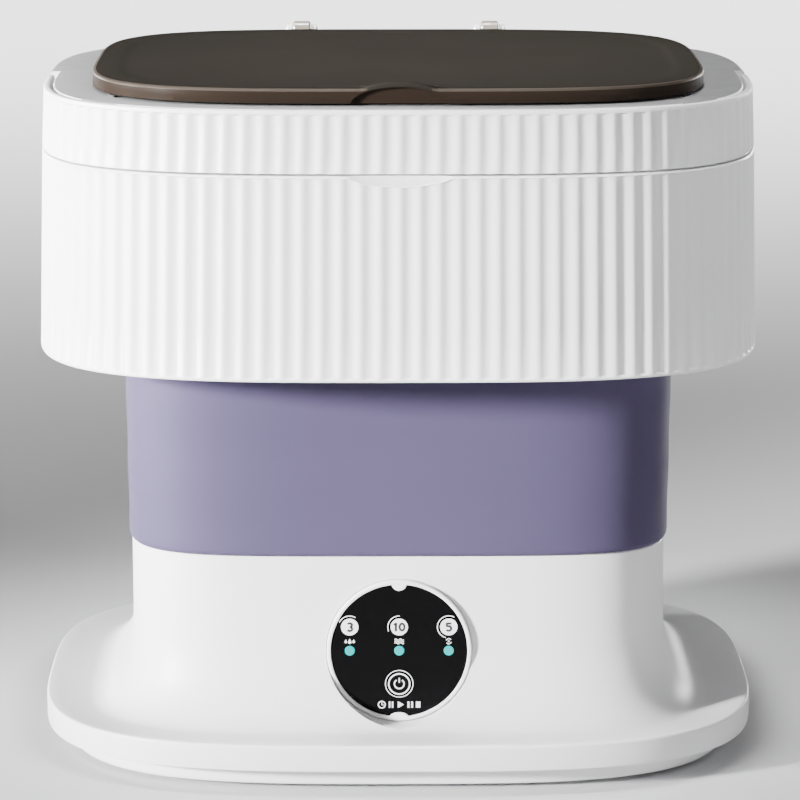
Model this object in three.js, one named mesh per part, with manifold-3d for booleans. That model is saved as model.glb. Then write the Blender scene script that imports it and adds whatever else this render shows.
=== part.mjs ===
// Folding mini washer: a drive base, a soft tub that folds flat, and a fluted upper housing with a
// carry handle and a hinged lid.
// Millimetres. +Z is up, -Y is the front, and the origin is on the floor under the middle of the base.

import * as THREE from 'three';
import { mergeVertices } from 'three/addons/utils/BufferGeometryUtils.js';
import Module from 'manifold-3d';

const wasm = await Module();
wasm.setup();

// ---- driving dimensions ----------------------------------------------------------------------

const GAP = 0.3; // left between pieces that touch
const WALL = 2.5; // moulded wall thickness
const SOFT_WALL = 2.2;
const LID_WALL = 2.2;
const SIDES = 40; // facets round a rounded-square outline
const ROUND = 24; // facets round a turned piece
const FAR = 400; // reach of a cutting block
const CUT_FROM = 200; // heights of the cutting blocks for the upper housing
const CUT_TO = 320;

// heights of the horizontal joints
const FOOT_HEIGHT = 2;
const FLANGE_BOTTOM = 11;
const FLANGE_RIM = 22.2;
const FLANGE_TOP = 21.2; // the trough between the rim and the flare
const FLARE_TOP = 60; // where the flare meets the upright body
const BODY_TOP = 94.5;
const SKIRT_BOTTOM = 180;
const TUB_TOP = 286; // top bead of the soft tub, inside the upper housing
const BAND_BOTTOM = 267;
const DECK_TOP = 293.9;
const LID_BOTTOM = 294.8;
const LID_TOP = 301.1;

// half widths of the main outlines, measured along X
const FLANGE_HALF = 158.3;
const FLARE_HALF = 139; // foot of the flare
const BODY_HALF = 118.6;
const TUB_HALF = 119.9;
const TUB_HALF_TOP = 122.3;
const DECK_HALF = 155;
const BAND_HALF = 156; // foot of the upper band, which leans out a little
const SKIRT_HALF = 158;
const LID_HALF = 134;
const LID_SHIFT = -2; // the lid sits this far forward of the middle

// carry handle
const HANDLE_THICK = 2.9;
const HANDLE_GAP = 1.2; // between the handle and the wall behind it
const PIVOT_Y = -8;
const PIVOT_Z = 280.5;
const ARM_END_R = 13.2;
const RECESS_R = 14.1; // end of the recess that the handle's arms lie in
const PIVOT_R = 4;

// lid hinges
const HINGE_X = 44.4;
const HINGE_Y = 117.5;
const HINGE_Z = 300.4;
const KNUCKLE_R = 3.9;
const KNUCKLE_WIDTH = 8;
const EAR_WIDTH = 2.85;
const EAR_R = 2.3;
const PIN_R = 1.1;

// control panel, on the front of the base
const PANEL_Z = 52.85;
const POCKET_R = 32;
const BEZEL_R = 31.5;
const GLASS_R = 29.6;
const PANEL_FACE = 92; // distance of the glass from the middle of the washer
const POCKET_BACK = 79;
const POCKET_FRONT = 114; // the pocket runs out here, at the foot of the flare
const LAMP_SPREAD = 21.5;
const LAMP_R = 2.4;
const BUTTON_DROP = 14.8; // button centre below the panel's centre
const BUTTON_R = 5.4;

// drive
const GEAR_MODULE = 1.8;
const GEAR_TEETH = 40;
const PINION_TEETH = 10;
const MOTOR_X = -(GEAR_MODULE * (GEAR_TEETH + PINION_TEETH)) / 2;
const SHAFT_R = 4;
const BASIN_FLOOR = 44; // underside of the basin's floor
const PULSATOR_R = 64;

// drain and power sockets, on the rear of the base
const DRAIN_X = 60;
const INLET_X = -60;
const SOCKET_Z = 56;

// ---- outlines --------------------------------------------------------------------------------

// Each outline is a rounded square |x/a|^n + |y/b|^n = 1. A section gives b and n for a half width a.
const deckSection = (a) => ({ b: a - 23.25, n: 3.42 });
const plateSection = (a) => ({ b: a - 23.8, n: 3.31 });
const tubSection = (a) => ({ b: a - 28.3, n: 5 });
const lidSection = (a) => ({ b: a - 19, n: 3.8 });

// The base changes from the tub's squarer outline to the flange's rounder one as it flares.
function baseSection(a) {
  const t = (a - BODY_HALF) / (FLANGE_HALF - BODY_HALF);
  return { b: 90.3 + 44.2 * t, n: 5 - 1.69 * t };
}

// ---- solids ----------------------------------------------------------------------------------

// A closed solid from a three.js geometry: shared corners merged, collapsed triangles dropped and
// faces turned outwards.
function solid(geometry) {
  const bare = geometry.index ? geometry.toNonIndexed() : geometry.clone();
  bare.deleteAttribute('normal');
  bare.deleteAttribute('uv');
  const merged = mergeVertices(bare, 1e-3);
  const points = merged.attributes.position.array;
  const corners = merged.index.array;
  const triangles = [];
  const corner = (i) => new THREE.Vector3().fromArray(points, 3 * i);
  let volume = 0;
  for (let i = 0; i < corners.length; i += 3) {
    const [a, b, c] = corners.slice(i, i + 3);
    if (a === b || b === c || c === a) continue;
    triangles.push([a, b, c]);
    volume += corner(a).dot(corner(b).cross(corner(c)));
  }
  const outwards = triangles.map(([a, b, c]) => (volume < 0 ? [a, c, b] : [a, b, c]));
  return new wasm.Manifold(new wasm.Mesh({
    numProp: 3,
    vertProperties: new Float32Array(points),
    triVerts: new Uint32Array(outwards.flat()),
  }));
}

// A profile of [radius, height] pairs turned about Z. It starts and ends on the axis, or closes.
function lathe(profile, sides = ROUND) {
  const points = profile.map(([r, z]) => new THREE.Vector2(r, z));
  if (profile[0][0] > 0) points.push(points[0].clone());
  return new THREE.LatheGeometry(points, sides).rotateX(Math.PI / 2);
}

// The same profile swept round a rounded-square outline: radius becomes the half width along X.
function swept(profile, section) {
  const geometry = lathe(profile, SIDES);
  const position = geometry.attributes.position;
  for (let i = 0; i < position.count; i++) {
    const a = Math.hypot(position.getX(i), position.getY(i));
    if (a < 1) continue;
    const angle = Math.atan2(position.getY(i), position.getX(i));
    const { b, n } = section(a);
    const spread = (Math.abs(Math.cos(angle)) / a) ** n + (Math.abs(Math.sin(angle)) / b) ** n;
    const radius = spread ** (-1 / n);
    position.setXY(i, radius * Math.cos(angle), radius * Math.sin(angle));
  }
  return solid(geometry);
}

// A filled rounded-square block, with straight or drafted sides.
const block = (a0, z0, a1, z1, section) => swept([[0, z0], [a0, z0], [a1, z1], [0, z1]], section);

const turned = (profile, sides) => solid(lathe(profile, sides));

// Turned pieces that lie along the front, rear or side direction. Heights are distances from x = 0
// or y = 0 along that direction.
const turnedFront = (profile, x, z, sides) =>
  solid(lathe(profile, sides).rotateX(Math.PI / 2).translate(x, 0, z));
const turnedRear = (profile, x, z, sides) =>
  solid(lathe(profile, sides).rotateX(-Math.PI / 2).translate(x, 0, z));
const turnedSide = (profile, y, z, sides) =>
  solid(lathe(profile, sides).rotateY(Math.PI / 2).translate(0, y, z));

const disc = (r, from, to) => [[0, from], [r, from], [r, to], [0, to]];
const tube = (inner, outer, from, to) => [[inner, from], [outer, from], [outer, to], [inner, to]];

function box(x0, x1, y0, y1, z0, z1) {
  const geometry = new THREE.BoxGeometry(x1 - x0, y1 - y0, z1 - z0);
  return solid(geometry.translate((x0 + x1) / 2, (y0 + y1) / 2, (z0 + z1) / 2));
}

// Points of an elliptical arc in a profile, from one angle to another in degrees.
function arc(r, z, radiusR, radiusZ, from, to, steps) {
  return Array.from({ length: steps + 1 }, (_, i) => {
    const angle = THREE.MathUtils.degToRad(from + ((to - from) * i) / steps);
    return [r + radiusR * Math.cos(angle), z + radiusZ * Math.sin(angle)];
  });
}

// An outline of trapezoidal gear teeth, wide at the root and narrow at the tip.
function gearShape(teeth, phase) {
  const pitch = (GEAR_MODULE * teeth) / 2;
  const step = (2 * Math.PI) / teeth;
  const shape = new THREE.Shape();
  const flanks = [[-0.32, -1.2], [-0.13, 0.9], [0.13, 0.9], [0.32, -1.2]];
  for (let tooth = 0; tooth < teeth; tooth++) {
    flanks.forEach(([along, height], i) => {
      const angle = (tooth + phase + along) * step;
      const radius = pitch + height * GEAR_MODULE;
      const move = tooth + i === 0 ? 'moveTo' : 'lineTo';
      shape[move](radius * Math.cos(angle), radius * Math.sin(angle));
    });
  }
  return shape;
}

function extruded(shape, z0, z1) {
  const settings = { depth: z1 - z0, bevelEnabled: false, curveSegments: 12 };
  return solid(new THREE.ExtrudeGeometry(shape, settings).translate(0, 0, z0));
}

const mirrored = [['left', -1], ['right', 1]];

// ---- materials -------------------------------------------------------------------------------

const look = (color, roughness, metalness = 0) =>
  new THREE.MeshStandardMaterial({ color, roughness, metalness });
const LOOKS = {
  whiteShell: () => look(0xeeeef2, 0.4),
  lilacTub: () => look(0x9d95b8, 0.55),
  smokedLid: () => look(0x46403a, 0.12),
  blackGlass: () => look(0x141416, 0.08),
  cyanLamp: () => look(0x6ef5ee, 0.3),
  darkPlastic: () => look(0x26262a, 0.5),
  steel: () => look(0xb9bcc2, 0.3, 1),
  greenBoard: () => look(0x1d5a38, 0.5),
  rubber: () => look(0x3a3a3d, 0.85),
  gearPlastic: () => look(0xe8e3d2, 0.5),
};

const washer = new THREE.Group();

function add(name, shape, lookName) {
  const { vertProperties, triVerts } = shape.getMesh();
  const geometry = new THREE.BufferGeometry();
  geometry.setAttribute('position', new THREE.BufferAttribute(vertProperties, 3));
  geometry.setIndex(new THREE.BufferAttribute(triVerts, 1));
  geometry.computeVertexNormals();
  const mesh = new THREE.Mesh(geometry, LOOKS[lookName]());
  mesh.name = name;
  washer.add(mesh);
}

// ---- base housing ----------------------------------------------------------------------------

const SCREW_SPOTS = [[-113, -88], [113, -88], [-113, 88], [113, 88], [-136, 0], [136, 0]];

// The outside of the base: a wide rounded flange, a hollow flare and an upright body.
function baseOutside() {
  return [
    [FLANGE_HALF, FLANGE_BOTTOM],
    ...arc(FLANGE_HALF - 2, FLANGE_RIM - 2, 2, 2, 0, 90, 1),
    ...arc(FLARE_HALF, FLARE_TOP, FLARE_HALF - BODY_HALF, FLARE_TOP - FLANGE_TOP, 270, 180, 5),
    [BODY_HALF, BODY_TOP],
  ];
}

function makeBaseShell() {
  const rim = BODY_HALF - 9.6; // the basin hangs in this opening
  const inside = [
    [rim, BODY_TOP],
    [rim, BODY_TOP - WALL],
    [BODY_HALF - WALL, BODY_TOP - WALL],
    ...arc(FLARE_HALF - WALL, FLARE_TOP, FLARE_HALF - BODY_HALF, FLARE_TOP - FLANGE_TOP + WALL,
      180, 270, 3),
    [FLANGE_HALF - WALL, FLANGE_TOP - WALL],
    [FLANGE_HALF - WALL, FLANGE_BOTTOM + 2],
    [FLANGE_HALF - 12.3, FLANGE_BOTTOM + 2],
    [FLANGE_HALF - 12.3, FLANGE_BOTTOM],
  ];
  const outline = baseOutside();
  const filled = swept([[0, 0], [FLANGE_HALF, 0], ...outline, [0, BODY_TOP]], baseSection);
  const sleeve = turnedFront(disc(POCKET_R + 2.2, POCKET_BACK - 2, 118), 0, PANEL_Z, 40);
  let shell = swept([...outline, ...inside], baseSection)
    .add(sleeve.intersect(filled))
    .subtract(turnedFront(disc(POCKET_R, POCKET_BACK, POCKET_FRONT), 0, PANEL_Z, 40)
      .subtract(box(-FAR, FAR, -FAR, FAR, 0, FLANGE_TOP - 0.1)))
    .subtract(turnedFront(disc(20, 60, POCKET_BACK + 1), 0, PANEL_Z, 24));
  for (const [x, y] of SCREW_SPOTS) {
    const post = solid(lathe(disc(4.5, 4.8, 32), 12).translate(x, y, 0));
    const hole = solid(lathe(disc(1.8, 0, 18), 12).translate(x, y, 0));
    shell = shell.add(post.intersect(filled)).subtract(hole);
  }
  return shell
    .subtract(turnedRear(disc(8.3, 60, 120), DRAIN_X, SOCKET_Z, 24))
    .subtract(turnedRear(disc(7.3, 60, 120), INLET_X, SOCKET_Z, 24));
}

function makeBasePlate() {
  const half = FLANGE_HALF - 10;
  const top = FLANGE_BOTTOM - GAP;
  let plate = swept([
    [0, FOOT_HEIGHT],
    [half, FOOT_HEIGHT],
    [half, top],
    [half - 2, top],
    [half - 2, FOOT_HEIGHT + WALL],
    [0, FOOT_HEIGHT + WALL],
  ], plateSection);
  for (const [x, y] of SCREW_SPOTS) {
    const recess = [[0, 0], [3.7, 0], [3.7, 3.4], [1.8, 3.4], [1.8, 6], [0, 6]];
    plate = plate.subtract(solid(lathe(recess, 12).translate(x, y, 0)));
  }
  return plate;
}

add('base_shell', makeBaseShell(), 'whiteShell');
add('base_plate', makeBasePlate(), 'whiteShell');

SCREW_SPOTS.forEach(([x, y], i) => {
  const screw = [[0, 2.1], [3.3, 2.1], [3.3, 3.1], [1.5, 3.1], [1.5, 16], [0, 17]];
  add(`base_screw_${i + 1}`, solid(lathe(screw, 10).translate(x, y, 0)), 'steel');
});

for (const [side, signX] of mirrored) {
  for (const [end, signY] of [['front', -1], ['rear', 1]]) {
    const foot = [[0, 0], [8.5, 0], [9, 0.5], [9, FOOT_HEIGHT - GAP], [0, FOOT_HEIGHT - GAP]];
    add(`foot_${end}_${side}`, solid(lathe(foot, 20).translate(signX * 100, signY * 78, 0)), 'rubber');
  }
}

// ---- control panel ---------------------------------------------------------------------------

const BUTTON_Z = PANEL_Z - BUTTON_DROP;
const LAMPS = [['left', -LAMP_SPREAD], ['middle', 0], ['right', LAMP_SPREAD]];

// Two small tabs of the bezel reach into the glass, at the top and the bottom.
function bezelTabs(grow) {
  const tab = (r, squash, z) => {
    const geometry = lathe(disc(r + grow, PANEL_FACE - 2.2, PANEL_FACE + 0.1), 20);
    return solid(geometry.rotateX(Math.PI / 2).scale(1, 1, squash).translate(0, 0, z));
  };
  return tab(3.3, 1, PANEL_Z + GLASS_R + 0.6).add(tab(4.3, 0.6, PANEL_Z - GLASS_R - 0.6));
}

function makeBezel() {
  const inner = GLASS_R + GAP;
  const back = POCKET_BACK + GAP;
  const ring = turnedFront([
    [BEZEL_R, back],
    [BEZEL_R, PANEL_FACE - 0.4],
    [BEZEL_R - 0.7, PANEL_FACE + 0.5],
    [inner + 0.4, PANEL_FACE + 0.5],
    [inner, PANEL_FACE + 0.1],
    [inner, PANEL_FACE - 2.3],
    [inner - 2.4, PANEL_FACE - 2.3],
    [inner - 2.4, PANEL_FACE - 9],
    [inner, PANEL_FACE - 9],
    [inner, back],
  ], 0, PANEL_Z, 36);
  const reach = turnedFront(disc(BEZEL_R - 0.4, 0, PANEL_FACE + 1), 0, PANEL_Z, 36);
  return ring.add(bezelTabs(0).intersect(reach));
}

function makeGlass() {
  let glass = turnedFront(disc(GLASS_R, PANEL_FACE - 2, PANEL_FACE), 0, PANEL_Z, 36)
    .subtract(bezelTabs(GAP))
    .subtract(turnedFront(disc(BUTTON_R + GAP, 80, 100), 0, BUTTON_Z, 20));
  for (const [, x] of LAMPS) {
    glass = glass.subtract(turnedFront(disc(LAMP_R + 0.2, 80, 100), x, PANEL_Z, 16));
  }
  return glass;
}

add('panel_bezel', makeBezel(), 'whiteShell');
add('panel_glass', makeGlass(), 'blackGlass');
for (const [side, x] of LAMPS) {
  const lamp = disc(LAMP_R, PANEL_FACE - 7, PANEL_FACE + 0.1);
  add(`indicator_lens_${side}`, turnedFront(lamp, x, PANEL_Z, 16), 'cyanLamp');
}
add('panel_button', turnedFront([
  [0, PANEL_FACE - 5.5],
  [1.8, PANEL_FACE - 5.5],
  [1.8, PANEL_FACE - 3.3],
  [6.8, PANEL_FACE - 3.3],
  [6.8, PANEL_FACE - 2.5],
  [BUTTON_R, PANEL_FACE - 2.5],
  [BUTTON_R, PANEL_FACE + 0.1],
  [BUTTON_R - 0.5, PANEL_FACE + 0.5],
  [0, PANEL_FACE + 0.5],
], 0, BUTTON_Z, 20), 'darkPlastic');

const BOARD_FRONT = PANEL_FACE - 9 - GAP;
add('control_board', turnedFront(disc(GLASS_R, BOARD_FRONT - 1.6, BOARD_FRONT), 0, PANEL_Z, 32),
  'greenBoard');
const switchBack = BOARD_FRONT + 0.1;
add('button_switch', box(-3, 3, -switchBack - 1.5, -switchBack, BUTTON_Z - 3, BUTTON_Z + 3)
  .add(turnedFront(disc(1.7, switchBack + 1, switchBack + 1.9), 0, BUTTON_Z, 12)), 'darkPlastic');

// ---- basin, folding tub and their clamps -----------------------------------------------------

const FLOOR_TOP = BASIN_FLOOR + 3;
const HOUSING_R = 12;
const BEARING_R = 8;

// A rigid basin with a bearing housing under its floor. Its lip rests on the base shell.
function makeLowerTub() {
  const lipTop = BODY_TOP + GAP + WALL;
  return swept([
    [0, BASIN_FLOOR],
    [97.3, BASIN_FLOOR],
    [100.3, FLOOR_TOP],
    [102.3, 89],
    [BODY_HALF - 10.8, BODY_TOP - 0.5],
    [BODY_HALF - 10.8, BODY_TOP + GAP],
    [BODY_HALF - 4.8, BODY_TOP + GAP],
    [BODY_HALF - 4.8, lipTop],
    [BODY_HALF - 13.3, lipTop],
    [99.8, 90],
    [97.8, FLOOR_TOP + 1],
    [96.8, FLOOR_TOP],
    [0, FLOOR_TOP],
  ], tubSection)
    .add(turned(disc(HOUSING_R, 24, BASIN_FLOOR + 1)))
    .subtract(turned(disc(BEARING_R + 0.1, 20, 43)))
    .subtract(turned(disc(6.6, 40, 50)))
    .subtract(turnedRear(disc(8.3, 60, 90), DRAIN_X, SOCKET_Z, 24));
}

// The soft tub: a bead at each end and a slightly widening wall between them.
function makeFoldingTub() {
  const bottom = BODY_TOP + GAP;
  return swept([
    [TUB_HALF - 5.6, bottom],
    [TUB_HALF - 0.9, bottom],
    [TUB_HALF, bottom + 1.6],
    [TUB_HALF_TOP, TUB_TOP - WALL],
    [TUB_HALF_TOP + 5, TUB_TOP - WALL],
    [TUB_HALF_TOP + 5, TUB_TOP],
    [TUB_HALF_TOP - SOFT_WALL, TUB_TOP],
    [TUB_HALF - SOFT_WALL, bottom + WALL],
    [TUB_HALF - 5.6, bottom + WALL],
  ], tubSection);
}

add('lower_tub', makeLowerTub(), 'whiteShell');
add('tub_clamp_ring', swept(tube(106.3, 117.1, BODY_TOP + 3.1, BODY_TOP + 6), tubSection), 'whiteShell');
add('folding_tub', makeFoldingTub(), 'lilacTub');
add('upper_tub_ring', swept(tube(118.8, 129.3, 286.3, 290.5), tubSection), 'whiteShell');

// ---- drive -----------------------------------------------------------------------------------

add('bearing_lower', turned(tube(SHAFT_R + 0.1, BEARING_R, 24.5, 31.5)), 'steel');
add('bearing_upper', turned(tube(SHAFT_R + 0.1, BEARING_R, 35, 42)), 'steel');
add('shaft_seal', turned(tube(SHAFT_R + 0.15, 6.4, 43.3, 48.5)), 'rubber');
add('pulsator_shaft', turned(disc(SHAFT_R, 11.5, 56), 24), 'steel');

const GEAR_FROM = 14;
const GEAR_TO = 21.5;
add('drive_gear', extruded(gearShape(GEAR_TEETH, 0), GEAR_FROM, GEAR_TO - 1.5)
  .add(turned(disc(9, GEAR_FROM, GEAR_TO + 1)))
  .subtract(turned(disc(SHAFT_R + 0.15, 0, 60), 24)), 'gearPlastic');

const pinion = extruded(gearShape(PINION_TEETH, 0.5), GEAR_FROM - 0.5, GEAR_TO)
  .subtract(turned(disc(1.65, 0, 60), 16));
add('motor_pinion', pinion.translate([MOTOR_X, 0, 0]), 'gearPlastic');
add('motor_shaft', turned(disc(1.5, 12.5, 24.2), 16).translate([MOTOR_X, 0, 0]), 'steel');
add('motor', turned([
  [0, 24.5], [20, 24.5], [21, 25.5], [21, 41.5], [20, 42.5], [0, 42.5],
]).translate([MOTOR_X, 0, 0]), 'darkPlastic');

// A plate under the motor, hung from the basin's floor on three posts.
function makeMotorBracket() {
  const [under, top] = [22.7, 24.2];
  let bracket = turned(disc(20, under, top), 24);
  for (const angle of [60, 180, 300]) {
    const turn = THREE.MathUtils.degToRad(angle);
    const [x, y] = [26 * Math.cos(turn), 26 * Math.sin(turn)];
    const arm = new THREE.BoxGeometry(12, 8, top - under).rotateZ(turn);
    bracket = bracket
      .add(solid(arm.translate(0.85 * x, 0.85 * y, (under + top) / 2)))
      .add(solid(lathe(disc(3.8, under, BASIN_FLOOR - GAP), 16).translate(x, y, 0)));
  }
  return bracket.subtract(turned(disc(5, 0, 60), 20)).translate([MOTOR_X, 0, 0]);
}
add('motor_bracket', makeMotorBracket(), 'steel');

// A shallow dished disc with a domed hub and four raised vanes.
function makePulsator() {
  const under = 50;
  let disk = turned([
    [0, under], [PULSATOR_R - 2, under], [PULSATOR_R, under + 2], [PULSATOR_R - 1, under + 5],
    [PULSATOR_R - 14, under + 3.2], [20, under + 4.5], [15, under + 9], [7, under + 12], [0, under + 12],
  ], 32);
  for (let i = 0; i < 4; i++) {
    const vane = new THREE.SphereGeometry(1, 12, 6).scale(23, 5.5, 8);
    disk = disk.add(solid(vane.translate(33, 0, under + 3).rotateZ((i * Math.PI) / 2 + Math.PI / 4)));
  }
  const below = box(-FAR, FAR, -FAR, FAR, under - 20, under);
  return disk
    .subtract(below)
    .subtract(turned([[0, 40], [4.15, 40], [4.15, 56.5], [2, 56.5], [2, 60], [5.4, 60], [5.4, 70],
      [0, 70]], 24));
}
add('pulsator', makePulsator(), 'whiteShell');
add('pulsator_screw', turned([[0, 56.8], [1.8, 56.8], [1.8, 60.3], [5, 60.3], [5, 62], [0, 62.6]], 20),
  'steel');

// ---- drain and power sockets -----------------------------------------------------------------

add('drain_outlet', turnedRear([
  [6, 70], [8, 70], [8, 97.4], [11.5, 97.4], [11.5, 99.4], [8, 99.4], [8, 106], [6, 106],
], DRAIN_X, SOCKET_Z, 16), 'whiteShell');
add('drain_plug', turnedRear([
  [0, 96], [5.2, 96], [5.7, 97], [5.7, 106.3], [8.8, 106.3], [8.8, 109.8], [0, 109.8],
], DRAIN_X, SOCKET_Z, 16), 'rubber');
add('power_inlet', turnedRear([
  [0, 84], [7, 84], [7, 95.6], [9.5, 95.6], [9.5, 97.4], [3.2, 97.4], [3.2, 88], [1, 88], [1, 96.4],
  [0, 96.4],
], INLET_X, SOCKET_Z, 16), 'darkPlastic');

// ---- upper housing ---------------------------------------------------------------------------

const WALL_INSET = HANDLE_THICK + HANDLE_GAP; // the wall behind the handle, in from the outside
const TUB_MOUTH = 117.3;

// The space of the handle's arms and their rounded ends, seen from the side.
function armSpace(radius, squareTop) {
  const end = turnedSide(disc(radius, -FAR, FAR), PIVOT_Y, PIVOT_Z, 40);
  const ahead = box(-FAR, FAR, -FAR, PIVOT_Y, CUT_FROM, FAR);
  const space = end.add(ahead);
  return squareTop ? space.add(box(-FAR, FAR, -FAR, PIVOT_Y + radius, PIVOT_Z, FAR)) : space;
}

const bandOutside = () => [
  [BAND_HALF, BAND_BOTTOM],
  ...arc(DECK_HALF - 1.2, DECK_TOP - 1.2, 1.2, 1.2, 0, 90, 1),
];

function makeDeck() {
  const within = (half, top, section) => block(half, CUT_FROM, half, top, section);
  const recessed = within(DECK_HALF - WALL_INSET, CUT_TO, deckSection);
  const frontInside = DECK_HALF - WALL_INSET - WALL;
  const rearInside = DECK_HALF - WALL;
  const underside = DECK_TOP - 3;
  let deck = swept([[0, BAND_BOTTOM], ...bandOutside(), [0, DECK_TOP]], deckSection)
    .subtract(armSpace(RECESS_R, true).subtract(recessed))
    .subtract(within(frontInside, underside, deckSection))
    .subtract(within(rearInside, underside, deckSection)
      .intersect(box(-FAR, FAR, PIVOT_Y + RECESS_R + WALL, FAR, CUT_FROM, underside)))
    .subtract(within(TUB_MOUTH, CUT_TO, tubSection));
  for (const side of [-1, 1]) {
    for (const ear of [-1, 1]) {
      const middle = side * HINGE_X + ear * (KNUCKLE_WIDTH / 2 + GAP + EAR_WIDTH / 2);
      const [from, to] = [middle - EAR_WIDTH / 2, middle + EAR_WIDTH / 2];
      deck = deck
        .add(turnedSide(disc(EAR_R, from, to), HINGE_Y, HINGE_Z, 12))
        .add(box(from, to, HINGE_Y - EAR_R, HINGE_Y + EAR_R, DECK_TOP - 1, HINGE_Z));
    }
  }
  return deck
    .subtract(turnedSide(disc(PIN_R + 0.12, -FAR, FAR), HINGE_Y, HINGE_Z, 16))
    .subtract(turnedSide(disc(PIVOT_R + 0.3, -FAR, FAR), PIVOT_Y, PIVOT_Z, 24));
}

const NOTCH_R = 53.6;
const NOTCH_DEPTH = 4.5;

// The tall skirt hides the drive base when the tub is folded. A shallow finger notch in its top
// edge gives a grip under the handle.
function makeSkirt() {
  const top = BAND_BOTTOM - GAP;
  const outline = [[SKIRT_HALF, SKIRT_BOTTOM], [BAND_HALF, top]];
  const front = deckSection(BAND_HALF).b;
  const backing = box(-28, 28, -front - 5, -front + 10, 254, top)
    .intersect(block(SKIRT_HALF - 1, SKIRT_BOTTOM, BAND_HALF - 1, top, deckSection));
  const notch = solid(lathe(disc(NOTCH_R, front - 6, front + 20), 96).rotateX(Math.PI / 2)
    .translate(0, 0, top - NOTCH_DEPTH + NOTCH_R));
  return swept([
    ...outline,
    [BAND_HALF - 10, top],
    [BAND_HALF - 10, top - WALL],
    [BAND_HALF - WALL, top - WALL],
    [SKIRT_HALF - WALL, SKIRT_BOTTOM],
  ], deckSection).add(backing).subtract(notch);
}

// The handle is a U-shaped bail that lies flush round the front and turns on two stub pivots.
function makeHandle() {
  const low = PIVOT_Z - ARM_END_R;
  const inner = DECK_HALF - HANDLE_THICK;
  const outline = bandOutside();
  outline[0] = [BAND_HALF, low];
  const band = swept([...outline, [inner, DECK_TOP], [inner, low]], deckSection);
  const bore = [[0, -DECK_HALF + 1], [PIVOT_R + 0.15, -DECK_HALF + 1]];
  const ends = [[PIVOT_R + 0.15, DECK_HALF - 1], [0, DECK_HALF - 1]];
  return band.intersect(armSpace(ARM_END_R, false))
    .subtract(turnedSide([...bore, ...ends], PIVOT_Y, PIVOT_Z, 24));
}

add('deck', makeDeck(), 'whiteShell');
add('skirt_shell', makeSkirt(), 'whiteShell');
add('carry_handle', makeHandle(), 'whiteShell');
for (const [side, sign] of mirrored) {
  const face = DECK_HALF - WALL_INSET - WALL - GAP;
  const pivot = lathe([
    [0, face - 2], [6.5, face - 2], [6.5, face], [PIVOT_R, face], [PIVOT_R, DECK_HALF - 1.3],
    [0, DECK_HALF - 1.3],
  ], 24).rotateY((sign * Math.PI) / 2).translate(0, PIVOT_Y, PIVOT_Z);
  add(`handle_pivot_${side}`, solid(pivot), 'steel');
}

// ---- lid -------------------------------------------------------------------------------------

// A shallow cover with a skirt. A low dome at the front makes a finger lip over an arched cut-out.
function makeLid() {
  const front = lidSection(LID_HALF).b;
  const cover = swept([
    [0, LID_TOP],
    [LID_HALF - 1.2, LID_TOP],
    [LID_HALF, LID_TOP - 1.2],
    [LID_HALF, LID_BOTTOM],
    [LID_HALF - LID_WALL, LID_BOTTOM],
    [LID_HALF - LID_WALL, LID_TOP - LID_WALL],
    [0, LID_TOP - LID_WALL],
  ].reverse(), lidSection);
  const filled = block(LID_HALF - 0.2, LID_BOTTOM, LID_HALF - 0.2, LID_TOP + 10, lidSection);
  const dome = new THREE.SphereGeometry(1, 24, 10).scale(17, 16, 4.3).translate(0, 5 - front, 300);
  const lip = solid(dome).intersect(filled).intersect(box(-FAR, FAR, -FAR, FAR, 299.5, 320));
  const backing = box(-24, 24, -front - 5, -front + 10, LID_BOTTOM, LID_TOP - 1).intersect(filled);
  const arch = new THREE.CylinderGeometry(1, 1, 9, 32).scale(20.5, 1, 7.4);
  let lid = cover.add(lip).add(backing)
    .subtract(solid(arch.translate(0, 2 - front, LID_BOTTOM)))
    .translate([0, LID_SHIFT, 0]);
  for (const side of [-1, 1]) {
    const [from, to] = [side * HINGE_X - KNUCKLE_WIDTH / 2, side * HINGE_X + KNUCKLE_WIDTH / 2];
    lid = lid
      .add(turnedSide(disc(KNUCKLE_R, from, to), HINGE_Y, HINGE_Z, 20))
      .add(box(from, to, HINGE_Y - 7, HINGE_Y, HINGE_Z - 2.8, LID_TOP));
  }
  return lid.subtract(turnedSide(disc(PIN_R + 0.12, -FAR, FAR), HINGE_Y, HINGE_Z, 16));
}

add('lid', makeLid(), 'smokedLid');
for (const [side, sign] of mirrored) {
  const pad = box(-3, 3, -1, 1, DECK_TOP + 0.1, LID_BOTTOM - 0.1);
  add(`lid_bumper_${side}`, pad.rotate([0, 0, sign * 59]).translate([sign * 121.5, -84.2, 0]), 'rubber');
  const half = KNUCKLE_WIDTH / 2 + GAP + EAR_WIDTH + 0.3;
  const pin = turnedSide(disc(PIN_R, sign * HINGE_X - half, sign * HINGE_X + half), HINGE_Y, HINGE_Z, 16);
  add(`hinge_pin_${side}`, pin, 'steel');
}

export default washer;
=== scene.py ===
import math

import bmesh
import bpy
import numpy as np
from mathutils import Matrix, Vector


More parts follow.
